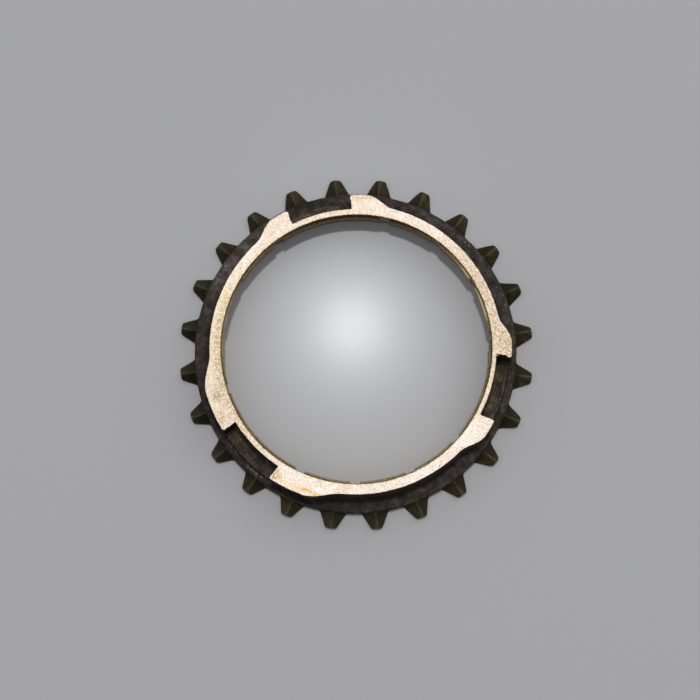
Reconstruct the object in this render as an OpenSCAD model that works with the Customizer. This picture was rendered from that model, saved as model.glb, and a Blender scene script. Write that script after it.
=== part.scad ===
// Synchronizer (blocker) ring with three key slots and pointed blocker teeth.
// One forged brass piece. Millimetres, +Z towards the hub side.
// The origin is the centre of the flat gear-side face, and the ring's axis is Z.

/* [Ring] */
// Height from the gear-side face to the machined hub-side face
ring_h = 9.2; // [8.8:0.1:11]
// Radius of the rim's outer edge at the hub-side face, between the lugs
rim_r = 31; // [30.8:0.05:31.3]
// Draft of the rim's outer wall, in degrees
rim_draft = 6.5; // [4:0.5:8]
// Radius of the blend from the rim's wall to the flange
rim_blend = 0.9; // [0.5:0.1:1.1]

/* [Flange] */
// Outer radius of the flange, at the roots of the teeth
flange_r = 34.56; // [34.4:0.02:35]
// Thickness of the flange
flange_h = 2.2; // [2.1:0.1:2.8]
// Rounding of the flange's upper edge
flange_round = 0.45; // [0.2:0.05:0.7]
// Bevel of the flange's lower edge
flange_bevel = 0.2; // [0.1:0.05:0.4]

/* [Cone] */
// Inner radius of the machined hub-side face
face_inner_r = 28.78; // [28.6:0.02:28.9]
// Radial width of the bevel between the hub-side face and the cone
mouth_bevel = 0.68; // [0.3:0.02:0.8]
// Half angle of the friction cone, which opens towards the gear side, in degrees
cone_angle = 6.5; // [5:0.1:7.5]
// Bevel at the cone's wide end
cone_bevel = 0.35; // [0.1:0.05:0.6]

/* [Oil grooves] */
// Number of groove positions round the cone; the positions behind the key slots stay plain
groove_places = 15; // [9:3:18]
// Turn of the first groove position away from a key slot's centre, in degrees
groove_turn = -2.7; // [-3:0.1:3]
// Width of a groove
groove_w = 2.1; // [1.2:0.1:2.6]
// Depth of a groove below the cone
groove_d = 0.55; // [0.4:0.05:0.9]

/* [Key slots and lugs] */
// Radius of the lugs' outer wall
lug_r = 33.05; // [32.6:0.05:33.3]
// Radius of the wall at the back of a key slot
slot_r = 29.86; // [29.7:0.02:30.1]
// Half width of a key slot at its back wall
slot_half_w = 6.5; // [5.5:0.1:6.8]
// Flare of each side wall of a key slot, in degrees
slot_flare = 6; // [0:0.5:9]
// Height of the key slot's floor over the flange
slot_floor_step = 0.5; // [0.2:0.1:1]
// Rounding of a lug's outer corner at the slot
lug_corner = 0.6; // [0.3:0.1:0.8]
// End of the short lugs' full radius, in degrees from the slot's centre
short_flat = 18.3; // [17:0.1:21]
// End of the short lugs' run down to the rim, in degrees from the slot's centre
short_end = 29.1; // [27:0.1:32]
// End of the long lugs' full radius, in degrees from the slot's centre
long_flat = 26.2; // [23:0.1:28]
// End of the long lugs' run down to the rim, in degrees from the slot's centre
long_end = 41.3; // [37:0.1:43]

/* [Blocker teeth] */
// Number of teeth
teeth = 24; // [18:6:30]
// Radius of the teeth's tips
tip_r = 38; // [37:0.1:38.5]
// Width of a tooth at the flange
tooth_root_w = 5.5; // [4.8:0.1:5.6]
// Width of a tooth at its tip
tooth_tip_w = 2.2; // [1.6:0.1:2.6]
// Rounding of the corners at the tip
tooth_tip_round = 0.4; // [0.2:0.05:0.6]
// Height of a tooth's ridge over the gear-side face
ridge_h = 2; // [1.95:0.05:2.1]
// Slope of the two ridge faces, in degrees
ridge_slope = 34; // [28:1:34]

/* [Hidden] */
$fn = 144;
slots = [30, 150, 270];
long_slot = 270;
floor_z = flange_h + slot_floor_step;
mouth_r = face_inner_r - mouth_bevel;
cone_top_z = ring_h - mouth_bevel;
cone_base_r = mouth_r + cone_top_z * tan(cone_angle);
arc_steps = 5;
curve_steps = 14;
// Stock above the hub-side face, before it is faced off
spare = 1;
// How far the lugs' curves start outside the lug radius, and end inside the rim
lug_cross = 0.08;

// A point at radius r and angle a
function polar(r, a) = [r * cos(a), r * sin(a)];

// A smooth run from 0 to 1
function ease(t) = (1 - cos(180 * t)) / 2;

// Centre of the blend between the flange's top and the rim's drafted wall
blend_z = flange_h + rim_blend;
blend_r = rim_r + (rim_blend + (ring_h - blend_z) * sin(rim_draft)) / cos(rim_draft);

// Section of the ring, as radius and height. It runs on above the hub-side face, which is faced off last
function ring_section() = concat(
    [[cone_base_r + cone_bevel, 0],
     [flange_r - flange_bevel, 0],
     [flange_r, flange_bevel]],
    [for (i = [0 : arc_steps])
        let (a = 90 * i / arc_steps)
        [flange_r - flange_round + flange_round * cos(a),
         flange_h - flange_round + flange_round * sin(a)]],
    [for (i = [0 : arc_steps])
        let (a = 270 - (90 - rim_draft) * i / arc_steps)
        [blend_r + rim_blend * cos(a), blend_z + rim_blend * sin(a)]],
    [[rim_r - spare * tan(rim_draft), ring_h + spare],
     [face_inner_r + spare, ring_h + spare],
     [mouth_r, cone_top_z],
     [cone_base_r - cone_bevel * tan(cone_angle), cone_bevel]]);

// Radius of a lug's curved run, from the rim at t = 0 to the full radius at t = 1
function lug_run(t) =
    rim_r - lug_cross + (lug_r - rim_r + 2 * lug_cross) * ease(t);

// Plan of a pair of lugs and the ground between them, about the slot's centre line
function lug_plan(flat, run_end) = concat(
    [for (i = [0 : curve_steps])
        polar(lug_run(i / curve_steps), -run_end + (run_end - flat) * i / curve_steps)],
    [for (i = [0 : 6]) polar(lug_r + 1.5, -flat + flat * i / 3)],
    [for (i = [0 : curve_steps])
        polar(lug_run(1 - i / curve_steps), flat + (run_end - flat) * i / curve_steps)],
    [for (i = [0 : 6]) polar(rim_r - 1, run_end - run_end * i / 3)]);

// Solid pair of lugs, before the slot is cut
module lug_pair(flat, run_end) {
    translate([0, 0, flange_h / 2])
        linear_extrude(ring_h + spare + 0.5 - flange_h / 2)
            intersection() {
                polygon(lug_plan(flat, run_end));
                circle(r = lug_r);
            }
}

// One side of the slot's plan: the flared wall and the rounded corner of the lug
function slot_side(s) =
    let (r0 = slot_r * 0.9,
         r1 = sqrt(lug_r * lug_r - slot_half_w * slot_half_w) - lug_corner - 0.1,
         back_x = sqrt(slot_r * slot_r - slot_half_w * slot_half_w),
         y1 = slot_half_w + (r1 - back_x) * tan(slot_flare))
    concat(
        [[r0, s * (slot_half_w + (r0 - back_x) * tan(slot_flare))]],
        [for (i = [0 : arc_steps])
            let (a = 90 * i / arc_steps)
            [r1 + lug_corner * sin(a) + (1 - cos(a)) * 0.1,
             s * (y1 + lug_corner * (1 - cos(a)))]],
        [[lug_r + 1.2, s * (y1 + lug_corner)]]);

// Space of one key slot, open outwards and upwards
module key_slot() {
    upper = slot_side(1);
    lower = slot_side(-1);
    translate([0, 0, floor_z])
        linear_extrude(ring_h)
            difference() {
                polygon(concat(lower, [for (i = [len(upper) - 1 : -1 : 0]) upper[i]]));
                circle(r = slot_r);
            }
}

// Space of one oil groove, which runs along the cone
module oil_groove() {
    translate([cone_base_r + groove_d / cos(cone_angle), 0, 0])
        rotate([0, -cone_angle, 0])
            translate([-groove_d - 3, -groove_w / 2, -2])
                cube([groove_d + 3, groove_w, ring_h + 4]);
}

// Plan of one tooth along +X, from inside the flange to the tip
function tooth_plan() =
    let (lean = atan((tooth_root_w - tooth_tip_w) / 2 / (tip_r - flange_r)),
         in_r = flange_r - 1,
         in_w = tooth_root_w + 2 * tan(lean),
         // centre of the corner's rounding, clear of the tip and the flank
         cx = tip_r - tooth_tip_round,
         cy = tooth_tip_w / 2 + tooth_tip_round * tan(lean) - tooth_tip_round / cos(lean))
    concat(
        [[in_r, -in_w / 2]],
        [for (i = [0 : 3])
            let (a = -(90 - lean) * (1 - i / 3))
            [cx + tooth_tip_round * cos(a), -cy + tooth_tip_round * sin(a)]],
        [for (i = [0 : 3])
            let (a = (90 - lean) * i / 3)
            [cx + tooth_tip_round * cos(a), cy + tooth_tip_round * sin(a)]],
        [[in_r, in_w / 2]]);

// One blocker tooth: its plan, under the two ridge faces
module tooth() {
    half = tooth_root_w;
    intersection() {
        linear_extrude(flange_h) polygon(tooth_plan());
        translate([flange_r - 2, 0, 0])
            rotate([90, 0, 90])
                linear_extrude(tip_r - flange_r + 4)
                    polygon([[-half, -4], [half, -4],
                             [half, ridge_h - half * tan(ridge_slope)],
                             [0, ridge_h],
                             [-half, ridge_h - half * tan(ridge_slope)]]);
    }
}

module synchronizer_ring() {
    color("darkkhaki")
        difference() {
            union() {
                rotate_extrude() polygon(ring_section());
                for (a = slots)
                    rotate([0, 0, a])
                        lug_pair(a == long_slot ? long_flat : short_flat,
                                 a == long_slot ? long_end : short_end);
                for (i = [0 : teeth - 1])
                    rotate([0, 0, (i + 0.5) * 360 / teeth]) tooth();
            }
            translate([0, 0, ring_h]) cylinder(r = tip_r + 5, h = 5);
            for (a = slots)
                rotate([0, 0, a]) key_slot();
            for (i = [0 : groove_places - 1])
                if (i % (groove_places / 3) != 0)
                    rotate([0, 0, slots[0] + groove_turn + i * 360 / groove_places])
                        oil_groove();
        }
}

synchronizer_ring();
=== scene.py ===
import math

import bpy
import numpy as np
from mathutils import Matrix, Vector, noise


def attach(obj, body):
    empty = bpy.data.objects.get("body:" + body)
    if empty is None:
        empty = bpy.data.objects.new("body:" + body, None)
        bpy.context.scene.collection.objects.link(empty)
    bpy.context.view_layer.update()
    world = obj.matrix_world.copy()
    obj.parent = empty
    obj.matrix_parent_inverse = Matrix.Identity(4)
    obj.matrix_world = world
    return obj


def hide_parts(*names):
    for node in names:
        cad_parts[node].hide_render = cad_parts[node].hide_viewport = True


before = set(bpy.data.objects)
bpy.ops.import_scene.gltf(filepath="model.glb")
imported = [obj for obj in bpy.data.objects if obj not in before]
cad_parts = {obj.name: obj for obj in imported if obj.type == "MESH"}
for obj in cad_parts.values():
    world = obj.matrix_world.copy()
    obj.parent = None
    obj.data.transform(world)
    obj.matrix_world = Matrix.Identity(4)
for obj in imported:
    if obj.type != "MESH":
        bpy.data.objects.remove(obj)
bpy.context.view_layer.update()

MM = 0.001

# ---------------------------------------------------------------- sizes, mm and degrees
H = 9.2                       # hub-side face
RIM = 31.0                    # rim's outer edge at the face
DRAFT = math.tan(math.radians(6.5))
FLANGE_R, FLANGE_H, FLANGE_ROUND = 34.56, 2.2, 0.5
FACE_IN, BEVEL = 28.78, 0.68
CONE = math.tan(math.radians(6.5))
LUG = 33.05
SLOT_FLOOR = 2.7
SLOTS = (30.0, 150.0, 270.0)
SLOT_WALL = {30.0: 29.76, 150.0: 29.94, 270.0: 29.87}     # radius of each slot's back wall
SLOT_STEP = {30.0: 32.65, 150.0: 32.45, 270.0: 32.85}     # radius where each slot's floor drops to the flange
# where each lug leaves its full radius and meets the rim, from the slot's centre; forged by hand, so no two are quite alike
RUNS = {(30.0, 1): (18.0, 28.8), (30.0, -1): (18.6, 29.4), (150.0, 1): (18.15, 28.95), (150.0, -1): (18.4, 29.2),
        (270.0, 1): (25.4, 40.5), (270.0, -1): (27.1, 42.2)}
GROOVES = [30.0 - 2.7 + 24.0 * i for i in range(15) if i % 5]
GROOVE_W, GROOVE_D = 2.1, 0.55
GROOVE_WEAR = (1.0, 0.85, 0.75, 0.7, 1.0, 0.45, 0.4, 1.0, 1.15, 1.1, 0.85, 0.95)   # what wear has left of each groove's depth
PHOTO = 45.7                                # the picture's right is this far round from +X, in degrees
TIP, ROOT_W, TIP_W = 37.97, 5.5, 2.2
RIDGE, SLOPE, RIDGE_OFF = 2.0, math.tan(math.radians(34.0)), 0.12
MOUTH = FACE_IN - BEVEL                     # narrow end of the cone
CONE_TOP = H - BEVEL
CONE_BASE = MOUTH + CONE_TOP * CONE
WALL = 12.25                                # middle of a slot's side wall, from the slot's centre
WALL_HALF = 0.12                            # half the angle over which the wall leans


def smin(a, b, k):
    h = np.clip(0.5 + 0.5 * (b - a) / k, 0.0, 1.0)
    return b * (1 - h) + a * h - k * h * (1 - h)


def smax(a, b, k):
    return -smin(-a, -b, k)


def step(x):
    x = np.clip(x, 0.0, 1.0)
    return x * x * (3 - 2 * x)


def turn(a):
    """An angle in degrees, brought to -180..180."""
    return (np.asarray(a, float) + 180.0) % 360.0 - 180.0


# ---------------------------------------------------------------- columns round the ring
def columns():
    feature = []
    half = math.degrees(math.asin(GROOVE_W / 2 / 28.4))
    for g in GROOVES:
        for d in (0.22, 0.03, -0.05, -0.3):
            feature += [g + half + d, g - half - d]
    for s in SLOTS:
        for d in (1.06, 0.7, 0.42, 0.22, 0.12, 0.06, 0.02, -0.02, -0.06, -0.12, -0.45):
            feature += [s + WALL + d, s - WALL - d]
    feature = np.array(feature) % 360.0
    plain = []
    for k in range(24):
        c = 7.5 + 15.0 * k
        for d in (1.15, 1.42, 1.68, 2.1, 2.8, 3.5, 4.05, 4.32, 4.62, 5.4, 6.4):
            plain += [c + d, c - d]
        plain += [c + d for d in (-0.7, -0.28, 0.04, 0.19, 0.34, 0.6, 0.88, 7.5)]
    plain = np.array(plain) % 360.0
    gap = np.abs(turn(plain[:, None] - feature[None, :])).min(1)
    return np.unique(np.round(np.concatenate([feature, plain[gap > 0.13]]), 5))


TH = columns()
N = len(TH)
local = np.radians(TH % 15.0 - 7.5)         # angle from the tooth's middle

# lugs and slots
near = np.array([min(SLOTS, key=lambda s: abs(turn(a - s))) for a in TH])
off = turn(TH - near)
side = np.sign(off) + (off == 0)
d_slot = np.abs(off)
slot_r = np.array([SLOT_WALL[s] for s in near])
lug = np.zeros(N)
for (s, sd), (flat, end) in RUNS.items():
    m = (near == s) & (side == sd)
    t = np.clip((end - d_slot[m]) / (end - flat), 0.0, 1.0)
    lug[m] = (1 - np.cos(np.pi * t)) / 2
u_slot = np.interp(d_slot - WALL, [-0.12, -0.06, -0.02, 0.02, 0.06, 0.12], [1.0, 0.97, 0.7, 0.3, 0.03, 0.0])
in_mm = np.clip((d_slot - WALL - WALL_HALF) * math.radians(1) * 33.0, 0.0, None)
corner = np.where(in_mm < 0.6, 0.6 - np.sqrt(np.clip(0.36 - (0.6 - in_mm) ** 2, 0.0, None)), 0.0)
corner = np.where(lug > 0.5, corner, 0.0)

# oil grooves: 0 on the cone, 1 on a groove's floor
half_g = math.degrees(math.asin(GROOVE_W / 2 / 28.4))
to_groove = np.abs(turn(TH[:, None] - np.array(GROOVES)[None, :]))
d_gro = to_groove.min(1) - half_g
groove = np.interp(d_gro, [-0.3, -0.05, 0.03, 0.22], [1.0, 0.93, 0.06, 0.0])
groove_d = GROOVE_D * np.array(GROOVE_WEAR)[to_groove.argmin(1)]


# the bore was turned a little off the forging's centre, and the face's edges are ragged
def ragged(seed, *waves):
    around = np.stack([31.0 * np.cos(np.radians(TH)), 31.0 * np.sin(np.radians(TH)), np.full(N, float(seed))], -1)
    return sum(amp * np.array([noise.noise(Vector(q * f)) for q in around]) for f, amp in waves)


def swell(centre, half):
    return step(1.0 - np.abs(turn(TH - PHOTO - centre)) / half)


off_centre = np.cos(np.radians(TH - PHOTO + 10.0))
rag_out = ragged(3, (0.8, 0.05), (2.1, 0.035))
rag_in = ragged(11, (0.9, 0.035), (2.3, 0.03))
slot_step = np.array([SLOT_STEP[s] for s in near]) + ragged(23, (0.35, 0.16), (1.3, 0.09))
for nick, deep, wide in ((133.5, 0.13, 0.40), (147.2, 0.16, 0.55), (227.3, 0.10, 0.30), (106.5, 0.06, 0.35), (309.0, 0.07, 0.45), (20.5, 0.06, 0.5)):
    rag_in += deep * np.exp(-(turn(TH - PHOTO - nick) / wide) ** 2)

# plan of the teeth along each column
m_flank = (ROOT_W - TIP_W) / 2 / (TIP - FLANGE_R)
# neither the flange nor the ring of tips is quite round or concentric
image_a = np.radians(TH - PHOTO)
root = FLANGE_R - 0.06 - 0.08 * np.cos(image_a) + 0.08 * swell(232.0, 45.0) + 0.06 * swell(90.0, 45.0)
tip_line = (TIP - 0.06 + 0.10 * np.cos(image_a) + 0.03 * np.sin(image_a)) / np.cos(local)
flank = (TIP_W / 2 + TIP * m_flank) / (np.sin(np.abs(local)) + m_flank * np.cos(local))
r_out = smax(smin(tip_line, flank, 0.6), root, 0.3)
tooth = step((r_out - root - 0.06) / 0.55)


def roof(r):
    y = r * np.sin(local) - RIDGE_OFF
    deeper = 0.11 * step((y - 0.02) / 0.4) * (1 - 0.7 * step((y - 0.5) / 1.6))
    return RIDGE - (np.sqrt(y * y + 0.09 ** 2) - 0.09) * SLOPE - deeper


# ---------------------------------------------------------------- rows round the section
R, Z, KIND = [], [], []


def row(r, z, kind):
    R.append(np.broadcast_to(np.asarray(r, float), (N,)).copy())
    Z.append(np.broadcast_to(np.asarray(z, float), (N,)).copy())
    KIND.append(kind)


def mix(a, b, t):
    return a * (1 - t) + b * t


# gear-side face
for r in (CONE_BASE + 0.36, 30.7, 32.0, 33.3, 34.1):
    row(r, 0.0, "back")
row(r_out - 0.16, 0.0, "back")
row(r_out - 0.05, 0.02, "edge")
# end and flank of a tooth, or the flange's wall between two teeth
z_e = np.maximum(roof(r_out), 0.16)
et = np.minimum(0.17, 0.45 * z_e)
z_c = mix(0.75, z_e - et, tooth)
row(r_out, np.minimum(0.07, 0.6 * z_c), "tooth")
row(r_out, 0.07 + (z_c - 0.07) * 0.6, "tooth")
row(r_out, z_c, "tooth")
row(r_out - 0.3 * et * tooth, mix(0.82, z_e - 0.22 * et, tooth), "tooth")
r_e = r_out - et * tooth
row(r_e, mix(0.9, np.maximum(roof(r_e), 0.12), tooth), "tooth")
# ridge faces, in to the flange
z_r = roof(root)
arc0 = FLANGE_H - FLANGE_ROUND


def edge_r(z):
    q = np.clip((z - arc0) / FLANGE_ROUND, 0.0, 1.0)
    return root - FLANGE_ROUND + FLANGE_ROUND * np.sqrt(1 - q * q)


r_root = mix(root, edge_r(z_r), tooth)
for q in (0.3, 0.62, 0.88, 1.0):
    r_q = mix(r_e, r_root, q)
    row(r_q, mix(0.9 + 0.25 * q, np.maximum(roof(r_q), 0.12), tooth), "tooth")
# up the flange's wall and over its rounded edge
z_q = Z[-1]
s0 = np.where(z_q < arc0, z_q, arc0 + FLANGE_ROUND * np.arcsin(np.clip((z_q - arc0) / FLANGE_ROUND, 0, 1)))
s1 = arc0 + FLANGE_ROUND * math.pi / 2
for q in (0.25, 0.5, 0.68, 0.84, 1.0):
    s = mix(s0, s1, q)
    a = np.clip((s - arc0) / FLANGE_ROUND, 0.0, None)
    row(np.where(a > 0, root - FLANGE_ROUND * (1 - np.cos(a)), root),
        np.where(a > 0, arc0 + FLANGE_ROUND * np.sin(a), s), "skin")

# flange top, blend, wall, face: three sections with the same rows
BLEND = 0.9
bz = FLANGE_H + BLEND
br = RIM + (BLEND + (H - bz) * math.sin(math.radians(6.5))) / math.cos(math.radians(6.5))
g_in = root - FLANGE_ROUND
lug_r = LUG - corner
sections = {"rim": [], "lug": [], "slot": []}


def put(name, r, z):
    sections[name].append((np.broadcast_to(np.asarray(r, float), (N,)).copy(),
                           np.broadcast_to(np.asarray(z, float), (N,)).copy()))


kinds = []
for q in (0.3, 0.6, 0.85, 1.0):                                   # flange top
    put("rim", mix(g_in, br, q), FLANGE_H)
    put("lug", mix(g_in, lug_r + 0.55, q), FLANGE_H)
    put("slot", mix(g_in, slot_step + 0.32, q), FLANGE_H)
    kinds.append("skin")
for q in (0.3, 0.55, 0.8, 1.0):                                   # blend
    a = math.radians(270.0 - 83.5 * q)
    put("rim", br + BLEND * math.cos(a), bz + BLEND * math.sin(a))
    put("lug", lug_r + 0.55 + 0.5 * math.cos(a), FLANGE_H + 0.5 + 0.5 * math.sin(a))
    crease = 0.14 * max(0.0, math.sin(math.pi * q / 0.8))
    put("slot", slot_step + 0.32 - 0.36 * q - 0.04 * math.sin(math.pi * q), FLANGE_H - crease + (SLOT_FLOOR - FLANGE_H) * float(step(np.array(q))))
    kinds.append("skin")
z_rim = bz + BLEND * math.sin(math.radians(186.5))
for q in (0.12, 0.32, 0.54, 0.76, 0.92, 1.0):                     # wall, or the slot's floor
    z = mix(z_rim, H - 0.09, q)
    put("rim", RIM + (H - z) * DRAFT + rag_out * q ** 4, z)
    z = mix(FLANGE_H + 0.45, H - 0.09, q)
    put("lug", lug_r + 0.05 * (H - z) / 7.0 + rag_out * q ** 4, z)
    put("slot", mix(slot_step - 0.08, slot_r + 0.3, q), SLOT_FLOOR)
    kinds.append("skin")
for q in (0.35, 0.7, 1.0):                                        # the face's outer edge, or the slot's inner corner
    c, s = 0.09 * (1 - math.cos(q * math.pi / 2)), 0.09 * math.sin(q * math.pi / 2)
    put("rim", RIM - c + rag_out, H - 0.09 + s)
    put("lug", lug_r - c + rag_out, H - 0.09 + s)
    put("slot", slot_r + 0.3 * (1 - math.sin(q * math.pi / 2)), SLOT_FLOOR + 0.3 * (1 - math.cos(q * math.pi / 2)))
    kinds.append("rim_edge")
for q in np.array([1, 2, 3, 4, 5, 6, 7, 8, 9, 10, 11, 12, 13, 14.0]) / 14.0:     # the face, or the slot's back wall
    put("rim", mix(RIM - 0.09 + rag_out, slot_r, q), H)
    put("lug", mix(lug_r - 0.09 + rag_out, slot_r, q), H)
    put("slot", slot_r + rag_out * 0.6 * q ** 4, mix(SLOT_FLOOR + 0.3, H - 0.08, q))
    kinds.append("face")
for q in (0.5, 1.0):                                              # the thin wall's edge
    put("rim", slot_r - 0.08 * q, H)
    put("lug", slot_r - 0.08 * q, H)
    put("slot", slot_r + rag_out * 0.6 - 0.08 * (1 - math.cos(q * math.pi / 2)), H - 0.08 + 0.08 * math.sin(q * math.pi / 2))
    kinds.append("thin_edge")
for i, kind in enumerate(kinds):
    (ra, za), (rb, zb), (rc, zc) = (sections[n][i] for n in ("rim", "lug", "slot"))
    row(mix(mix(ra, rb, lug), rc, u_slot), mix(mix(za, zb, lug), zc, u_slot), kind)

# inner part of the face, the bevel and the cone with its fine thread
e_cone = 0.08 * off_centre
r_in = FACE_IN + 0.11 * off_centre + rag_in - 0.08 * swell(203.0, 45.0) - 0.08 * swell(338.0, 35.0) + 0.05 * swell(288.0, 30.0)
mouth = MOUTH + e_cone + 0.20 * swell(291.0, 36.0) - 0.10 * swell(352.0, 35.0) - 0.08 * swell(212.0, 35.0)


def with_groove(r, z):
    """The radius r at height z, or the groove's floor where that lies deeper."""
    return mix(r, np.maximum(r, CONE_BASE - z * CONE + e_cone + groove_d), groove)


for q in (0.35, 0.75, 1.0):
    row(mix(slot_r - 0.08, r_in + 0.05, q), H, "face")
for r, z in ((r_in - 0.02, H - 0.03), (r_in - 0.13, H - 0.20), (r_in - 0.25, H - 0.37),
             (mouth + 0.22, CONE_TOP + 0.17), (mouth + 0.05, CONE_TOP + 0.06), (mouth, CONE_TOP - 0.05)):
    row(with_groove(r, z), z, "bevel")
turns, top, low = 11, CONE_TOP - 0.25, 0.55
pitch = (top - low) / turns
for k in range(turns):
    for f, d in ((0.0, 0.0), (0.42, 0.0), (0.58, 0.16), (0.84, 0.16)):
        z = top - (k + f) * pitch
        row(with_groove(CONE_BASE - z * CONE + d + e_cone, z), z, "cone")
row(with_groove(CONE_BASE - low * CONE + e_cone, low), low, "cone")
row(with_groove(CONE_BASE + 0.02 + e_cone, 0.3), 0.3, "cone_edge")
R, Z = np.array(R).T, np.array(Z).T         # columns by rows
M = R.shape[1]

# the slots' side walls aren't quite radial: columns next to them lean with the radius
c_w = (6.5 - 29.144 * math.tan(math.radians(6.0))) * math.cos(math.radians(6.0))
lean = 6.0 + np.degrees(np.arcsin(c_w / np.clip(R, 29.86, LUG))) - WALL
lean *= step((R - 28.9) / 1.0) * step((34.0 - R) / 0.9)
lean *= step(1.0 - np.abs(d_slot - WALL) / 3.0)[:, None]
burr = np.array([[noise.noise(Vector((q * 1.9, s * 0.37 + sd * 5.1, 2.0))) for q in R[i]] if abs(d_slot[i] - WALL) < 0.9 else [0.0] * M
                 for i, (s, sd) in enumerate(zip(near, side))])
burr *= np.where((near == 30.0) & (side > 0), 0.50, 0.26)[:, None]
lean += burr * step((Z - 6.8) / 2.4) * step(1.0 - np.abs(d_slot - WALL) / 0.9)[:, None]
A = np.radians(TH[:, None] + side[:, None] * lean)
P = np.stack([R * np.cos(A), R * np.sin(A), Z], -1)

# ---------------------------------------------------------------- faces and zones
ii, jj = np.meshgrid(np.arange(N), np.arange(M), indexing="ij")
i2, j2 = (ii + 1) % N, (jj + 1) % M
quads = np.stack([ii * M + jj, i2 * M + jj, i2 * M + j2, ii * M + j2], -1).reshape(-1, 4)
# slots: SKIN 0, FACE 1, CONE 2, BACK 3, TEETH 4
kind_pair = [(KIND[j], KIND[(j + 1) % M]) for j in range(M)]
zone = np.zeros((N, M), int)
u_col = np.maximum(u_slot, u_slot[(np.arange(N) + 1) % N])
for j, (a, b) in enumerate(kind_pair):
    if a in ("face", "thin_edge", "rim_edge") and b in ("face", "thin_edge"):
        zone[:, j] = np.where(u_col > 0.0, 0, 1)
    if a == "thin_edge" and b == "face" or a == "face" and b == "bevel" or a == b == "face" and j > KIND.index("thin_edge"):
        zone[:, j] = 1
    if a in ("bevel", "cone", "cone_edge"):
        zone[:, j] = 2
    if a == b == "back":
        zone[:, j] = 3
    if a == "cone_edge":
        zone[:, j] = 3
    if a in ("edge", "tooth") and b in ("tooth", "skin"):
        zone[:, j] = 4

# as-forged unevenness of everything that wasn't machined
flat_v = P.reshape(-1, 3)
rough_row = np.array([k in ("tooth", "skin") for k in KIND], float)
rough = np.broadcast_to(rough_row, (N, M)).reshape(-1)


def normals(v):
    a, b, c, d = (v[quads[:, k]] for k in range(4))
    n = np.cross(c - a, d - b)
    out = np.zeros_like(v)
    for k in range(4):
        np.add.at(out, quads[:, k], n)
    return out / np.maximum(np.linalg.norm(out, axis=1, keepdims=True), 1e-12)


nv = normals(flat_v)
wave = np.array([noise.noise(Vector(p * 0.55)) + 0.6 * noise.noise(Vector(p * 1.7) + Vector((7, 3, 1)))
                 + 0.4 * noise.noise(Vector(p * 3.3) + Vector((1, 9, 4))) if k else 0.0 for p, k in zip(flat_v, rough)])
moved = flat_v + nv * (wave * 0.04 * rough)[:, None]
lim = np.hypot(moved[:, 0], moved[:, 1])
moved[:, :2] *= np.minimum(1.0, 37.99 / lim)[:, None]
moved[:, 2] = np.clip(moved[:, 2], 0.0, H)

mesh = bpy.data.meshes.new("synchronizer_ring_visual")
mesh.vertices.add(N * M)
mesh.vertices.foreach_set("co", (moved * MM).ravel())
mesh.loops.add(len(quads) * 4)
mesh.polygons.add(len(quads))
mesh.polygons.foreach_set("loop_start", np.arange(0, len(quads) * 4, 4))
mesh.loops.foreach_set("vertex_index", quads.ravel())
mesh.polygons.foreach_set("material_index", zone.ravel())
mesh.polygons.foreach_set("use_smooth", np.ones(len(quads), bool))
mesh.update(calc_edges=True)
mesh.validate()
mesh.normals_split_custom_set_from_vertices(normals(moved))
ring = bpy.data.objects.new("synchronizer_ring_visual", mesh)
bpy.context.scene.collection.objects.link(ring)

# ---------------------------------------------------------------- UV map OFBake: the ring unrolled into strips, one above the other
STRIPS, PAD = 3, 0.004
SHARE = {"back": 0.5, "edge": 1.0, "tooth": 1.2, "skin": 1.0, "rim_edge": 1.6, "face": 1.6, "thin_edge": 1.6, "bevel": 1.6, "cone": 0.6, "cone_edge": 0.5}
grid = moved.reshape(N, M, 3)
du = np.linalg.norm(np.roll(grid, -1, 0) - grid, axis=-1).mean(1) + 0.03
dv = (np.linalg.norm(np.roll(grid, -1, 1) - grid, axis=-1).mean(0) + 0.04) * np.array([SHARE[k] for k in KIND])
strip = ((np.cumsum(du) - du / 2) / du.sum() * STRIPS).astype(int)
u_to = np.zeros(N)
for k in range(STRIPS):
    u_to[strip == k] = np.cumsum(du[strip == k]) / du[strip == k].sum()
    du[strip == k] /= du[strip == k].sum()
u_of = PAD + (1 - 2 * PAD) * np.stack([u_to - du, u_to, u_to, u_to - du], -1)
v_to = np.cumsum(dv) / dv.sum()
v_of = 3 * PAD + (1 - 6 * PAD) * np.stack([v_to - dv / dv.sum()] * 2 + [v_to] * 2, -1)
uv = np.empty((N, M, 4, 2), np.float32)
uv[..., 0] = u_of[:, None, :]
uv[..., 1] = (strip[:, None, None] + v_of[None, :, :]) / STRIPS
mesh.uv_layers.new(name="OFBake").data.foreach_set("uv", uv.ravel())


# ---------------------------------------------------------------- edges and crevices, for wear on the edges, and for painted shade and dirt in the crevices
def bends():
    """How far the surface turns at each point, in degrees: above 0 over an edge, below 0 in a corner."""
    g, n = moved.reshape(N, M, 3), normals(moved).reshape(N, M, 3)
    total = []
    for axis in (0, 1):
        e1, e2 = g - np.roll(g, 1, axis), np.roll(g, -1, axis) - g
        l1, l2 = np.linalg.norm(e1, axis=-1), np.linalg.norm(e2, axis=-1)
        c = (e1 * e2).sum(-1) / np.maximum(l1 * l2, 1e-12)
        ang = np.degrees(np.arccos(np.clip(c, -1, 1)))
        bend = e2 / np.maximum(l2, 1e-9)[..., None] - e1 / np.maximum(l1, 1e-9)[..., None]
        t = -ang * np.sign((bend * n).sum(-1))
        total.append(t + 0.6 * (np.roll(t, 1, axis) + np.roll(t, -1, axis)))
    hi = np.maximum(total[0], total[1])
    lo = np.minimum(total[0], total[1])
    return np.clip(hi / 70.0, 0, 1), np.clip(-lo / 60.0, 0, 1)


convex, hollow = bends()
for name, values in (("worn_edge", convex), ("hollow_shade", hollow)):
    at = mesh.attributes.new(name, "FLOAT", "POINT")
    at.data.foreach_set("value", values.ravel().astype(np.float32))

# ---------------------------------------------------------------- materials

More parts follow.
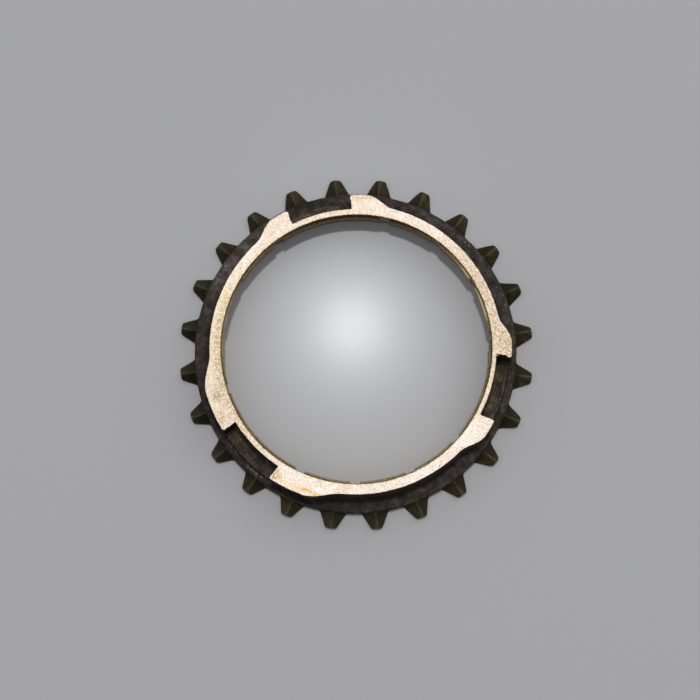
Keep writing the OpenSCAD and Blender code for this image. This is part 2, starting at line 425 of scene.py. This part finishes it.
class Nodes:
    def __init__(self, name):
        self.mat = bpy.data.materials.new(name)
        self.mat.use_nodes = True
        self.t = self.mat.node_tree
        self.bsdf = self.t.nodes["Principled BSDF"]

    def add(self, kind, inputs=None, **props):
        n = self.t.nodes.new(kind)
        for k, v in props.items():
            setattr(n, k, v)
        for k, v in (inputs or {}).items():
            self.set(n.inputs[k], v)
        return n

    def set(self, socket, v):
        if isinstance(v, bpy.types.NodeSocket):
            self.t.links.new(v, socket)
        else:
            socket.default_value = v

    def out(self, socket, v):
        self.set(self.bsdf.inputs[socket], v)

    def math(self, op, a, b=0.0, c=0.0):
        n = self.add("ShaderNodeMath", operation=op)
        for i, v in enumerate((a, b, c)):
            if i < len(n.inputs):
                self.set(n.inputs[i], v)
        return n.outputs[0]

    def times(self, *parts):
        x = parts[0]
        for q in parts[1:]:
            x = self.math("MULTIPLY", x, q)
        return x

    def plus(self, *parts):
        x = parts[0]
        for q in parts[1:]:
            x = self.math("ADD", x, q)
        return x

    def ease(self, x, lo, hi, a=0.0, b=1.0):
        """A smooth run of x from a at lo to b at hi."""
        n = self.add("ShaderNodeMapRange", interpolation_type="SMOOTHSTEP")
        for k, v in zip((0, 1, 2, 3, 4), (x, lo, hi, a, b)):
            self.set(n.inputs[k], v)
        return n.outputs[0]

    def ramp(self, fac, stops, interp="LINEAR"):
        n = self.add("ShaderNodeValToRGB", {"Fac": fac})
        e = n.color_ramp.elements
        n.color_ramp.interpolation = interp
        while len(e) < len(stops):
            e.new(1.0)
        for el, (p, c) in zip(e, stops):
            el.position = p
            el.color = (c, c, c, 1) if isinstance(c, (int, float)) else (*c, 1)
        return n.outputs["Color"]

    def mix(self, fac, a, b, blend="MIX"):
        n = self.add("ShaderNodeMix", data_type="RGBA", blend_type=blend)
        self.set(n.inputs[0], fac)
        self.set(n.inputs[6], a if isinstance(a, bpy.types.NodeSocket) else (*a, 1))
        self.set(n.inputs[7], b if isinstance(b, bpy.types.NodeSocket) else (*b, 1))
        return n.outputs[2]

    def noise(self, vec, scale, detail=4.0, rough=0.55, distort=0.0):
        return self.add("ShaderNodeTexNoise", {"Vector": vec, "Scale": scale, "Detail": detail, "Roughness": rough, "Distortion": distort}).outputs["Fac"]

    def sector(self, img, centre, half):
        """1 at an angle of the picture, and 0 from half degrees away."""
        c = self.math("COSINE", self.times(self.math("SUBTRACT", img, centre), math.pi / 180.0))
        return self.ease(c, math.cos(math.radians(half)), 1.0)

    def attr(self, name):
        return self.add("ShaderNodeAttribute", attribute_name=name).outputs["Fac"]

    def blob(self, co, angle, r, along, across, lo=0.35, hi=1.0, ragged=0.0, turned=0.0):
        """A soft oval mark on the ring: its angle in the picture, its radius, and its half sizes in mm round the ring and along the radius."""
        t = math.radians(angle + PHOTO)
        n = self.add("ShaderNodeMapping", vector_type="TEXTURE")
        self.set(n.inputs["Vector"], co)
        n.inputs["Location"].default_value = (r * MM * math.cos(t), r * MM * math.sin(t), 0)
        n.inputs["Rotation"].default_value = (0, 0, t + math.radians(turned))
        n.inputs["Scale"].default_value = (across * MM, along * MM, 1.0)
        d = self.add("ShaderNodeVectorMath", {0: n.outputs[0]}, operation="LENGTH").outputs["Value"]
        if ragged:
            d = self.plus(d, self.math("MULTIPLY_ADD", self.noise(co, 1100.0, 3.0, 0.6), 2.0 * ragged, -ragged))
        return self.ease(d, lo, hi, 1.0, 0.0)


def place(m):
    """Object position, its radius in mm, its angle in degrees and its height in mm."""
    co = m.add("ShaderNodeTexCoord").outputs["Object"]
    sep = m.add("ShaderNodeSeparateXYZ", {0: co})
    x, y, z = sep.outputs
    r = m.math("MULTIPLY", m.math("SQRT", m.math("ADD", m.math("MULTIPLY", x, x), m.math("MULTIPLY", y, y))), 1000.0)
    a = m.math("MULTIPLY", m.math("ARCTAN2", y, x), 180.0 / math.pi)
    return co, r, a, m.math("MULTIPLY", z, 1000.0)


# dark forged skin of the flange, the walls and the slots
skin = Nodes("forged_skin")
co, r, a, z = place(skin)
img = skin.math("SUBTRACT", a, PHOTO)
broad = skin.noise(co, 160.0, 3.0, 0.55)
patch = skin.noise(co, 520.0, 4.0, 0.62)
fine = skin.noise(co, 1700.0, 4.0, 0.65)
speck = skin.noise(co, 3400.0, 2.0, 0.5)
hue = skin.noise(co, 800.0, 2.0, 0.5)
mixed = skin.plus(skin.times(patch, 0.70), skin.times(fine, 0.23), skin.times(speck, 0.07))
body = skin.ramp(mixed, [(0.38, (0.0160, 0.0118, 0.0095)), (0.50, (0.0430, 0.0335, 0.0280)), (0.62, (0.0950, 0.0800, 0.0720))])
body = skin.mix(skin.ease(r, 33.8, 34.4, 0.0, 0.50), body, (0.0190, 0.0165, 0.0150))
body = skin.mix(skin.times(skin.ease(hue, 0.52, 0.64), 0.50), body, (0.0250, 0.0265, 0.0185))
body = skin.mix(skin.times(skin.ease(hue, 0.47, 0.36), 0.45), body, (0.0500, 0.0330, 0.0345))
# painted light: the skin is coloured lighter round 137° and darker round 242°, for how light falls on the flange
flange_side_light = skin.plus(1.0, skin.times(skin.sector(img, 137.0, 28.0), 0.70), skin.times(skin.sector(img, 242.0, 55.0), -0.50))
body = skin.mix(1.0, body, flange_side_light, "MULTIPLY")
# painted shade: the skin on the steep walls is coloured darker and browner, for the shade they stand in
wall_shade = skin.times(skin.ease(z, 2.9, 3.8), skin.ease(z, 9.15, 8.9))
body = skin.mix(skin.times(wall_shade, 0.90), body, skin.ramp(mixed, [(0.38, (0.0100, 0.0060, 0.0036)), (0.62, (0.0400, 0.0240, 0.0145))]))
in_slot = skin.times(skin.ease(z, 2.45, 2.6), skin.ease(z, 3.00, 2.8))
rust = skin.ramp(mixed, [(0.38, (0.0158, 0.0116, 0.0064)), (0.50, (0.0420, 0.0320, 0.0196)), (0.62, (0.0850, 0.0665, 0.0450))])
tooled = skin.noise(skin.add("ShaderNodeCombineXYZ", {0: skin.times(r, 0.001), 1: skin.times(a, 0.00006)}).outputs[0], 2300.0, 2.0, 0.5)
rust = skin.mix(1.0, rust, skin.ease(tooled, 0.36, 0.64, 0.62, 1.38), "MULTIPLY")
rust = skin.mix(1.0, rust, skin.plus(1.0, skin.times(skin.sector(img, 226.0, 30.0), 0.30), skin.times(skin.sector(img, 344.0, 30.0), 0.48)), "MULTIPLY")
upper_slot, right_slot, left_slot = (skin.ease(skin.sector(img, centre, 13.5), 0.0, 0.3) for centre in (104.3, 344.3, 224.3))
rust = skin.mix(1.0, rust, skin.plus(1.0, skin.times(upper_slot, skin.ease(r, 32.6, 31.6), 0.80)), "MULTIPLY")
body = skin.mix(1.0, body, skin.plus(1.0, skin.times(left_slot, skin.ease(r, 33.15, 33.4), skin.ease(r, 34.3, 34.0), 0.55), skin.times(upper_slot, skin.ease(r, 32.4, 32.9), -0.20)), "MULTIPLY")
col = skin.mix(skin.times(in_slot, 0.88), body, rust)
# a dark line painted along the step in the floors of two slots
step_line = skin.plus(skin.times(right_slot, skin.ease(r, 32.50, 32.66), skin.ease(r, 32.96, 32.78), 0.70), skin.times(left_slot, skin.ease(r, 32.70, 32.88), skin.ease(r, 33.24, 33.02), 0.80))
col = skin.mix(skin.times(step_line, skin.ease(fine, 0.62, 0.46, 0.5, 1.0)), col, (0.0070, 0.0055, 0.0045))
soot = skin.plus(skin.times(skin.blob(co, 106.0, 34.0, 6.5, 1.25, 0.45, ragged=0.4), 0.75), skin.times(skin.blob(co, 222.0, 33.6, 3.0, 0.8, 0.2, ragged=0.5), 0.5))
col = skin.mix(soot, col, (0.0130, 0.0105, 0.0060))
edge = skin.times(skin.attr("worn_edge"), skin.ease(fine, 0.42, 0.60), skin.ease(broad, 0.38, 0.6, 0.25, 1.0))
col = skin.mix(skin.times(edge, 0.45), col, (0.135, 0.112, 0.075))
# painted shade and dirt: the skin is coloured darker in the crevices
col = skin.mix(skin.times(skin.attr("hollow_shade"), 0.22), col, (0.006, 0.005, 0.004))
# painted glints with dust: bright specks painted into the skin's colour, thickest in these spots and at the spots
# listed below
dust_and_glint_spots = skin.plus(skin.blob(co, 229.5, 33.7, 2.4, 0.8, 0.2), skin.blob(co, 147.5, 33.9, 2.2, 0.9, 0.2), skin.times(skin.blob(co, 219.0, 33.3, 2.2, 0.7, 0.2), 0.5),
                  skin.times(skin.blob(co, 45.0, 33.5, 5.5, 1.1, 0.2), 0.5), skin.times(skin.blob(co, 22.0, 33.7, 5.0, 0.9, 0.2), 0.35), skin.times(skin.blob(co, 128.0, 33.8, 7.0, 1.2, 0.2), 0.4))
glint = skin.times(skin.ease(speck, 0.58, 0.66), skin.ease(fine, 0.48, 0.58), skin.math("MULTIPLY_ADD", dust_and_glint_spots, 0.80, 0.05))
for spot, bright in (((226.6, 33.45, 0.22, 0.15), 0.8), ((228.3, 33.55, 0.26, 0.16), 0.8), ((229.4, 33.4, 0.14, 0.12), 0.7), ((231.0, 33.42, 0.24, 0.15), 0.8),
                     ((233.0, 33.42, 0.30, 0.18), 0.9), ((222.0, 32.6, 0.16, 0.12), 0.5), ((146.2, 33.65, 0.30, 0.18), 0.8), ((149.8, 33.75, 0.20, 0.22), 0.8),
                     ((154.8, 32.95, 0.30, 0.14), 0.5), ((50.8, 33.45, 0.18, 0.18), 0.6), ((49.0, 33.45, 0.22, 0.20), 0.6), ((44.5, 33.3, 0.15, 0.14), 0.4), ((43.5, 33.55, 0.24, 0.18), 0.6)):
    glint = skin.plus(glint, skin.times(skin.blob(co, *spot, 0.3, ragged=0.4), bright))
col = skin.mix(glint, col, (0.360, 0.340, 0.330))
skin.out("Base Color", col)
skin.out("Metallic", 0.0)
skin.out("Roughness", skin.ease(fine, 0.3, 0.7, 0.50, 0.68))
skin.out("Specular IOR Level", 0.13)
skin.out("Specular Tint", (1.0, 0.92, 0.84, 1.0))
bump = skin.add("ShaderNodeBump", {"Strength": 0.9, "Distance": 0.00011,
                                   "Height": skin.plus(skin.times(patch, 1.5), skin.times(fine, 0.8), skin.times(speck, 0.25))})
skin.out("Normal", bump.outputs[0])

# the teeth: the same skin, darker, oily and olive brown
teeth = Nodes("forged_teeth")
co, r, a, z = place(teeth)
img = teeth.math("SUBTRACT", a, PHOTO)
broad = teeth.noise(co, 260.0, 3.0, 0.55)
patch = teeth.noise(co, 700.0, 4.0, 0.6)
fine = teeth.noise(co, 2000.0, 4.0, 0.65)
mixed = teeth.plus(teeth.times(patch, 0.5), teeth.times(fine, 0.5))
col = teeth.ramp(mixed, [(0.38, (0.0075, 0.0056, 0.0022)), (0.50, (0.0215, 0.0168, 0.0074)), (0.62, (0.0470, 0.0385, 0.0190))])
each = teeth.add("ShaderNodeTexWhiteNoise", {"W": teeth.math("FLOOR", teeth.times(a, 1.0 / 15.0))}, noise_dimensions="1D")
chance = each.outputs["Value"]              # a number of its own for each tooth
col = teeth.mix(teeth.times(teeth.ease(broad, 0.48, 0.60), 0.65), col, (0.0300, 0.0170, 0.0085))
col = teeth.mix(1.0, col, teeth.ramp(chance, [(0.0, 0.70), (1.0, 1.35)]), "MULTIPLY")
# painted shade: each tooth is coloured darker towards its root, where it meets the flange
col = teeth.mix(teeth.ease(r, 36.2, 34.6, 0.0, 0.60), col, (0.0065, 0.0050, 0.0030))
local = teeth.math("WRAP", teeth.math("SUBTRACT", a, 7.5), 7.5, -7.5)
across = teeth.math("SUBTRACT", teeth.times(r, teeth.math("SINE", teeth.times(local, math.pi / 180.0))), RIDGE_OFF)
# painted shade: each tooth's counter-clockwise facet is coloured darker
shade = teeth.times(teeth.ease(across, 0.08, 0.35), teeth.ease(across, 2.6, 0.7, 0.35, 1.0))
# painted light: the teeth are coloured darker round 195° and lighter round 276° and 74°, for how light falls on them,
# and their shaded facets darker still round 195°
teeth_side_light = teeth.plus(1.0, teeth.times(teeth.sector(img, 195.0, 50.0), -0.30), teeth.times(teeth.sector(img, 276.0, 40.0), 0.40), teeth.times(teeth.sector(img, 74.0, 28.0), 0.35))
col = teeth.mix(1.0, col, teeth_side_light, "MULTIPLY")
col = teeth.mix(teeth.times(shade, teeth.plus(0.80, teeth.times(teeth.sector(img, 195.0, 45.0), 0.14))), col, teeth.mix(1.0, (0.0062, 0.0046, 0.0026), teeth_side_light, "MULTIPLY"))
across = teeth.math("ABSOLUTE", across)
# wear and painted highlight: a lighter line along each ridge, stronger on the teeth round 0° where light catches them
lit = teeth.ease(teeth.math("COSINE", teeth.times(img, math.pi / 180.0)), -0.3, 1.0, 0.30, 1.0)
ridge = teeth.times(teeth.ease(across, 0.34, 0.06), teeth.ease(r, 34.7, 36.2), teeth.ease(z, 1.5, 1.75), teeth.ease(fine, 0.36, 0.56, 0.45, 1.0),
                    lit, teeth.ease(chance, 0.0, 1.0, 0.45, 1.0))
col = teeth.mix(teeth.times(ridge, 0.55), col, (0.120, 0.104, 0.056))
# painted highlight: a lighter band along each ridge towards the tip
crown_highlight = teeth.times(teeth.ease(across, 0.95, 0.25), teeth.ease(r, 35.2, 37.4), teeth.ease(z, 0.8, 1.4))
col = teeth.mix(teeth.times(crown_highlight, 0.22), col, (0.080, 0.068, 0.036))
edge = teeth.times(teeth.attr("worn_edge"), teeth.ease(fine, 0.42, 0.62), teeth.ease(broad, 0.38, 0.6, 0.25, 1.0))
col = teeth.mix(teeth.times(edge, 0.35), col, (0.120, 0.100, 0.060))
# painted shade and dirt: the teeth are coloured darker in the crevices
col = teeth.mix(teeth.times(teeth.attr("hollow_shade"), 0.25), col, (0.005, 0.004, 0.003))
teeth.out("Base Color", col)
teeth.out("Metallic", 0.0)
teeth.out("Roughness", teeth.ease(fine, 0.3, 0.7, 0.40, 0.56))
teeth.out("Specular IOR Level", 0.34)
teeth.out("Specular Tint", (1.0, 0.90, 0.55, 1.0))
bump = teeth.add("ShaderNodeBump", {"Strength": 0.8, "Distance": 0.00009, "Height": teeth.plus(teeth.times(patch, 1.4), fine)})
teeth.out("Normal", bump.outputs[0])

# bright machined face
face = Nodes("machined_face")
co, r, a, z = place(face)
img = face.math("SUBTRACT", a, PHOTO)
grain = face.noise(co, 2700.0, 3.0, 0.65)
pit = face.noise(co, 3100.0, 2.0, 0.55)
blot = face.noise(co, 170.0, 4.0, 0.55)
cloud = face.noise(co, 600.0, 3.0, 0.6)
lines = face.noise(face.add("ShaderNodeCombineXYZ", {0: face.times(r, 0.01)}).outputs[0], 900.0, 3.0, 0.6)
# painted reflection: the lapped face is coloured yellower and given more dark grain round 10° and 190°, where its sheen
# is weaker; the same mask also makes it a little rougher there
sheen_dull_sides = face.ease(face.math("COSINE", face.times(face.math("SUBTRACT", img, 10.0), math.pi / 90.0)), -0.25, 1.0)
col = face.ramp(blot, [(0.3, (0.680, 0.600, 0.513)), (0.55, (0.730, 0.660, 0.588)), (0.75, (0.760, 0.700, 0.648))])
col = face.mix(face.times(sheen_dull_sides, 0.70), col, (0.770, 0.648, 0.482))
col = face.mix(face.times(face.sector(img, 25.0, 50.0), 0.45), col, (0.665, 0.558, 0.420))
col = face.mix(face.times(face.sector(img, 105.0, 50.0), 0.50), col, (0.640, 0.525, 0.410))
col = face.mix(face.times(face.ease(cloud, 0.50, 0.64), 0.50), col, (0.810, 0.745, 0.655))
col = face.mix(face.times(face.ease(cloud, 0.49, 0.34), 0.40), col, (0.685, 0.560, 0.455))
col = face.mix(face.times(face.ease(r, 32.9, 31.4), face.sector(img, 172.0, 26.0), 0.32), col, (0.80, 0.70, 0.45))
coarse = face.times(face.math("MULTIPLY_ADD", sheen_dull_sides, 0.50, 0.24), face.math("SUBTRACT", 1.0, face.times(face.sector(img, 185.0, 55.0), face.ease(r, 29.8, 31.0, 0.25, 0.78))),
                    face.math("SUBTRACT", 1.0, face.times(face.sector(img, 342.0, 24.0), face.ease(r, 30.2, 29.8), 0.75)),
                    face.math("SUBTRACT", 1.0, face.times(face.sector(img, 322.0, 34.0), 0.40)),
                    face.math("SUBTRACT", 1.0, face.times(face.sector(img, 249.0, 26.0), 0.45)))
col = face.mix(face.times(face.ease(grain, 0.54, 0.40), coarse), col, (0.50, 0.375, 0.245))
worse = face.plus(coarse, face.times(face.sector(img, 4.0, 14.0), 0.14), face.times(face.sector(img, 172.0, 28.0), face.ease(r, 30.6, 29.2), 0.25))
col = face.mix(face.times(face.ease(pit, 0.45, 0.33), worse), col, (0.285, 0.195, 0.110))
score = face.noise(face.add("ShaderNodeCombineXYZ", {0: face.times(a, 0.000524), 1: face.times(r, 0.00012)}).outputs[0], 2600.0, 2.0, 0.5)
scored = face.times(face.sector(img, 184.0, 36.0), face.ease(r, 30.3, 29.5), face.ease(score, 0.52, 0.38))
col = face.mix(face.times(scored, 0.60), col, (0.40, 0.29, 0.15))
col = face.mix(face.ease(r, 29.25, 28.85, 0.0, 0.30), col, (0.70, 0.56, 0.27))
col = face.mix(face.times(face.attr("worn_edge"), face.ease(grain, 0.60, 0.42), 0.6), col, (0.30, 0.20, 0.10))


def stain(colour, strength, *spot, grainy=False, **how):
    """A soft ragged mark on the face, all over its spot or only in the grain."""
    global col
    where = face.times(face.blob(co, *spot, **how), strength)
    if grainy:
        where = face.times(where, face.ease(grain, 0.56, 0.44))
    col = face.mix(where, col, colour)


ORANGE, BROWN, DARK = (0.70, 0.40, 0.13), (0.46, 0.31, 0.17), (0.17, 0.115, 0.06)
stain((0.74, 0.60, 0.32), 0.60, 243.5, 32.2, 3.2, 0.85, 0.1, ragged=0.55)
stain((0.74, 0.52, 0.24), 0.80, 249.0, 31.95, 3.8, 0.80, 0.1, ragged=0.55)
stain(ORANGE, 0.90, 251.3, 31.75, 2.5, 0.58, 0.1, ragged=0.5)
stain((0.70, 0.46, 0.20), 0.85, 255.3, 32.1, 2.5, 0.85, 0.1, ragged=0.6)
stain(BROWN, 0.85, 238.3, 31.6, 1.6, 1.6, 0.2, ragged=0.5, grainy=True)
col = face.mix(face.times(face.blob(co, 238.2, 31.8, 1.5, 1.5, 0.3, ragged=0.4), face.ease(pit, 0.52, 0.43), 0.85), col, (0.25, 0.14, 0.075))
stain((0.66, 0.52, 0.34), 0.65, 239.0, 31.4, 1.6, 1.5, 0.1, ragged=0.5)
stain((0.52, 0.40, 0.22), 0.70, 195.7, 29.4, 0.9, 0.85, 0.1, ragged=0.55)
stain((0.56, 0.45, 0.29), 0.55, 198.5, 31.0, 2.6, 1.4, 0.1, ragged=0.6)
stain((0.40, 0.29, 0.17), 0.75, 199.5, 31.1, 2.0, 1.2, 0.2, ragged=0.5, grainy=True)
stain((0.56, 0.34, 0.20), 0.65, 209.0, 32.3, 1.0, 0.7, 0.1, ragged=0.6)
stain(BROWN, 0.70, 207.5, 31.6, 2.2, 1.3, 0.1, ragged=0.5, grainy=True)
stain((0.64, 0.57, 0.28), 0.60, 82.6, 32.0, 0.8, 0.6, 0.1, ragged=0.5)
stain((0.74, 0.46, 0.38), 0.55, 79.8, 31.1, 1.1, 0.7, 0.1, ragged=0.5)
stain((0.58, 0.40, 0.26), 0.70, 88.0, 32.3, 3.0, 0.35, 0.1, ragged=0.6)
stain(BROWN, 0.70, 87.0, 32.4, 3.6, 0.6, 0.1, ragged=0.6, grainy=True)
stain((0.62, 0.46, 0.29), 0.60, 2.0, 31.9, 2.4, 1.3, 0.1, ragged=0.6)
stain((0.45, 0.31, 0.18), 0.60, 0.5, 32.0, 3.0, 1.3, 0.2, ragged=0.5, grainy=True)
# painted shade: a thin black jag on the face's edge beside a slot's side wall, not a stain
stain((0.004, 0.003, 0.002), 1.0, 357.08, 30.85, 0.30, 1.4, 0.6, ragged=0.7, turned=-10.0)
stain((0.66, 0.56, 0.26), 0.50, 158.5, 30.0, 1.8, 1.2, 0.1, ragged=0.6)
stain(BROWN, 0.65, 133.0, 29.6, 1.2, 0.9, 0.1, ragged=0.6, grainy=True)
stain(DARK, 0.85, 263.2, 30.75, 0.55, 0.13, ragged=0.5)
stain(DARK, 0.80, 265.0, 30.35, 0.75, 0.13, ragged=0.5, turned=10.0)
stain(DARK, 0.75, 266.6, 30.65, 0.30, 0.16, ragged=0.5)
stain(DARK, 0.65, 262.3, 30.15, 0.35, 0.11, ragged=0.5)
stain(BROWN, 0.60, 266.2, 29.3, 0.20, 0.50, ragged=0.6)
stain(BROWN, 0.55, 267.2, 29.2, 0.14, 0.42, ragged=0.6)
stain((0.72, 0.54, 0.27), 0.50, 265.8, 29.7, 1.2, 0.9, 0.1, ragged=0.5)
stain(DARK, 0.75, 305.2, 30.5, 0.65, 0.13, ragged=0.5, turned=40.0)
stain(DARK, 0.65, 306.6, 29.95, 0.45, 0.12, ragged=0.5, turned=30.0)
stain(DARK, 0.55, 277.5, 30.1, 0.16, 0.16, ragged=0.5)
stain(BROWN, 0.55, 284.0, 29.5, 0.20, 0.16, ragged=0.5)
stain(DARK, 0.75, 227.4, 29.0, 0.09, 0.45, ragged=0.2, turned=-12.0)
stain(BROWN, 0.60, 106.6, 29.4, 0.22, 0.45, ragged=0.5, turned=10.0)
stain(BROWN, 0.55, 316.5, 31.2, 1.4, 0.8, 0.1, ragged=0.6, grainy=True)
hoop = face.times(face.blob(co, 255.0, 29.85, 0.78, 0.66, 0.85, 1.0), face.math("SUBTRACT", 1.0, face.blob(co, 255.0, 29.85, 0.78, 0.66, 0.55, 0.75)))
col = face.mix(face.times(hoop, 0.45), col, (0.50, 0.33, 0.27))
face.out("Base Color", col)
face.out("Metallic", 1.0)
face.out("Roughness", face.plus(face.ease(grain, 0.3, 0.7, 0.60, 0.50), face.times(sheen_dull_sides, 0.05)))
bump = face.add("ShaderNodeBump", {"Strength": 0.5, "Distance": 0.00004, "Height": face.plus(grain, face.times(pit, 0.9), face.times(lines, 0.3))})
face.out("Normal", bump.outputs[0])

# turned cone and its bevel: darker next to the face, rubbed bright at the lip
cone = Nodes("turned_cone")
co, r, a, z = place(cone)
tone = cone.noise(co, 300.0, 4.0, 0.6)
grit = cone.noise(co, 1900.0, 3.0, 0.6)
col = cone.ramp(tone, [(0.3, (0.34, 0.250, 0.130)), (0.55, (0.46, 0.355, 0.195)), (0.75, (0.56, 0.450, 0.265))])
lip = cone.times(cone.ease(z, 8.32, 8.46), cone.ease(tone, 0.30, 0.60, 0.55, 1.0))
col = cone.mix(cone.times(lip, 0.6), col, (0.54, 0.435, 0.245))
col = cone.mix(cone.times(cone.ease(z, 8.70, 8.86), 0.9), col, cone.ramp(tone, [(0.3, (0.19, 0.135, 0.060)), (0.7, (0.36, 0.265, 0.125))]))
col = cone.mix(cone.times(cone.ease(grit, 0.48, 0.34), 0.5), col, (0.09, 0.062, 0.028))
# painted highlights: bright streaks on the bevel round 18° and 35°, where it catches the light
bevel_highlight = cone.times(cone.plus(cone.blob(co, 18.5, 28.35, 4.8, 0.35), cone.blob(co, 35.0, 28.35, 2.4, 0.35)), cone.ease(z, 8.84, 8.74))
col = cone.mix(cone.times(bevel_highlight, 0.8), col, (0.90, 0.78, 0.48))
img = cone.math("SUBTRACT", a, PHOTO)
# painted light and shade: the cone is coloured lighter round 288° and 176° and darker round 98° and 357°, for what each
# side reflects
col = cone.mix(1.0, col, cone.plus(1.0, cone.times(cone.sector(img, 288.0, 50.0), 0.65), cone.times(cone.sector(img, 176.0, 12.0), 0.40),
                                   cone.times(cone.sector(img, 98.0, 70.0), -0.38), cone.times(cone.sector(img, 357.0, 18.0), -0.35)), "MULTIPLY")
cone.out("Base Color", col)
cone.out("Metallic", 1.0)
cone.out("Roughness", cone.ease(tone, 0.3, 0.7, 0.34, 0.24))

# turned gear-side face
back = Nodes("turned_back")
co, r, a, z = place(back)
rings = back.noise(back.add("ShaderNodeCombineXYZ", {0: back.times(r, 0.01)}).outputs[0], 900.0, 3.0, 0.6)
tone = back.noise(co, 180.0, 4.0, 0.6)
grit = back.noise(co, 2200.0, 3.0, 0.6)
col = back.ramp(tone, [(0.3, (0.36, 0.27, 0.14)), (0.6, (0.50, 0.40, 0.23)), (0.8, (0.60, 0.50, 0.31))])
col = back.mix(back.times(back.ease(grit, 0.48, 0.32), 0.5), col, (0.20, 0.14, 0.07))
col = back.mix(back.times(back.ease(rings, 0.5, 0.35), 0.35), col, (0.22, 0.16, 0.08))
back.out("Base Color", col)
back.out("Metallic", 1.0)
back.out("Roughness", back.ease(tone, 0.3, 0.7, 0.52, 0.42))
back.out("Normal", back.add("ShaderNodeBump", {"Strength": 0.4, "Distance": 0.00003, "Height": back.plus(rings, back.times(grit, 0.4))}).outputs[0])

for m in (skin, face, cone, back, teeth):
    mesh.materials.append(m.mat)

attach(ring, "root")
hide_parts("synchronizer_ring")

# ---------------------------------------------------------------- camera, at the photo's viewing angle
DIST, TILT, PSI = 0.5, 7.72, -89.2
F_PX, PX = 2315.5, (355.98, 355.10)         # focal length and the aimed-at point's place, in pixels from the corner of a 700 by 700 picture
LOWER = 0.0018                              # the camera aims this far below the origin
spin = Matrix.Rotation(math.radians(PHOTO), 3, "Z")
t, p = math.radians(TILT), math.radians(PSI)
back_dir = spin @ Vector((math.sin(t) * math.cos(p), math.sin(t) * math.sin(p), math.cos(t)))
up = spin @ Vector((0, 1, 0))
up = (up - back_dir * up.dot(back_dir)).normalized()
right = up.cross(back_dir).normalized()
cam = bpy.data.cameras.new("camera")
cam.sensor_width = 36.0
cam.lens = F_PX / 700.0 * 36.0
cam.shift_x = -(PX[0] - 350.0) / 700.0
cam.shift_y = (PX[1] - 350.0) / 700.0
cam.clip_start, cam.clip_end = 0.01, 20.0
cam_obj = bpy.data.objects.new("camera", cam)
cam_obj.matrix_world = Matrix((
    (right.x, up.x, back_dir.x, back_dir.x * DIST),
    (right.y, up.y, back_dir.y, back_dir.y * DIST),
    (right.z, up.z, back_dir.z, back_dir.z * DIST - LOWER),
    (0, 0, 0, 1)))
bpy.context.scene.collection.objects.link(cam_obj)
bpy.context.scene.camera = cam_obj

# ---------------------------------------------------------------- floor and light
floor_mesh = bpy.data.meshes.new("floor")
s = 3.0
floor_mesh.from_pydata([(-s, -s, 0), (s, -s, 0), (s, s, 0), (-s, s, 0)], [], [(0, 1, 2, 3)])
floor = bpy.data.objects.new("floor", floor_mesh)
floor.location.z = -0.00002
bpy.context.scene.collection.objects.link(floor)
fm = Nodes("floor")
fm.out("Base Color", (0.460, 0.458, 0.460, 1))
fm.out("Roughness", 0.16)
fm.out("Specular IOR Level", 0.043)
fm.out("Specular Tint", (0.80, 0.86, 1.0, 1.0))
fm.out("Coat Weight", 0.0080)
fm.out("Coat Roughness", 0.088)
floor_mesh.materials.append(fm.mat)


def lamp(name, at, size, power, colour=(1, 1, 1), shape="DISK"):
    d = bpy.data.lights.new(name, "AREA")
    d.shape, d.size, d.energy, d.color = shape, size, power, colour
    o = bpy.data.objects.new(name, d)
    o.location = spin @ Vector(at)
    o.rotation_mode = "QUATERNION"
    o.rotation_quaternion = (-o.location).to_track_quat("-Z", "Y")
    bpy.context.scene.collection.objects.link(o)
    return o


lamp("key", (-0.0056, 0.2014, 1.315), 0.047, 4.66, (1.0, 0.985, 0.96))
lamp("fill", (0.55, 0.60, 0.75), 0.7, 0.9, (1.0, 0.99, 0.98))
world = bpy.data.worlds.new("world")
bpy.context.scene.world = world
world.use_nodes = True
wt = world.node_tree
sky = wt.nodes.new("ShaderNodeTexCoord")
sep = wt.nodes.new("ShaderNodeSeparateXYZ")
wt.links.new(sky.outputs["Generated"], sep.inputs[0])
ramp = wt.nodes.new("ShaderNodeValToRGB")
wt.links.new(sep.outputs[2], ramp.inputs["Fac"])
while len(ramp.color_ramp.elements) < 4:
    ramp.color_ramp.elements.new(1.0)
for el, (at, v) in zip(ramp.color_ramp.elements, ((0.0, 0.36), (0.35, 0.43), (0.7, 0.58), (1.0, 0.78))):
    el.position, el.color = at, (v * 0.985, v, v * 1.04, 1)
# the room is darker on the camera's side
toward = wt.nodes.new("ShaderNodeVectorMath")
toward.operation = "DOT_PRODUCT"
wt.links.new(sky.outputs["Generated"], toward.inputs[0])
toward.inputs[1].default_value = (spin @ Vector((0.0, -0.96, 0.28))).normalized()
glow = wt.nodes.new("ShaderNodeMapRange")
glow.interpolation_type = "SMOOTHSTEP"
wt.links.new(toward.outputs["Value"], glow.inputs[0])
for k, v in enumerate((0.50, 0.98, 1.0, 0.10), 1):
    glow.inputs[k].default_value = v
both = wt.nodes.new("ShaderNodeMix")
both.data_type, both.blend_type = "RGBA", "MULTIPLY"
both.inputs[0].default_value = 1.0
wt.links.new(ramp.outputs["Color"], both.inputs[6])
wt.links.new(glow.outputs[0], both.inputs[7])
wt.links.new(both.outputs[2], wt.nodes["Background"].inputs["Color"])
wt.nodes["Background"].inputs["Strength"].default_value = 1.0
bpy.context.scene.view_settings.view_transform = "Standard"
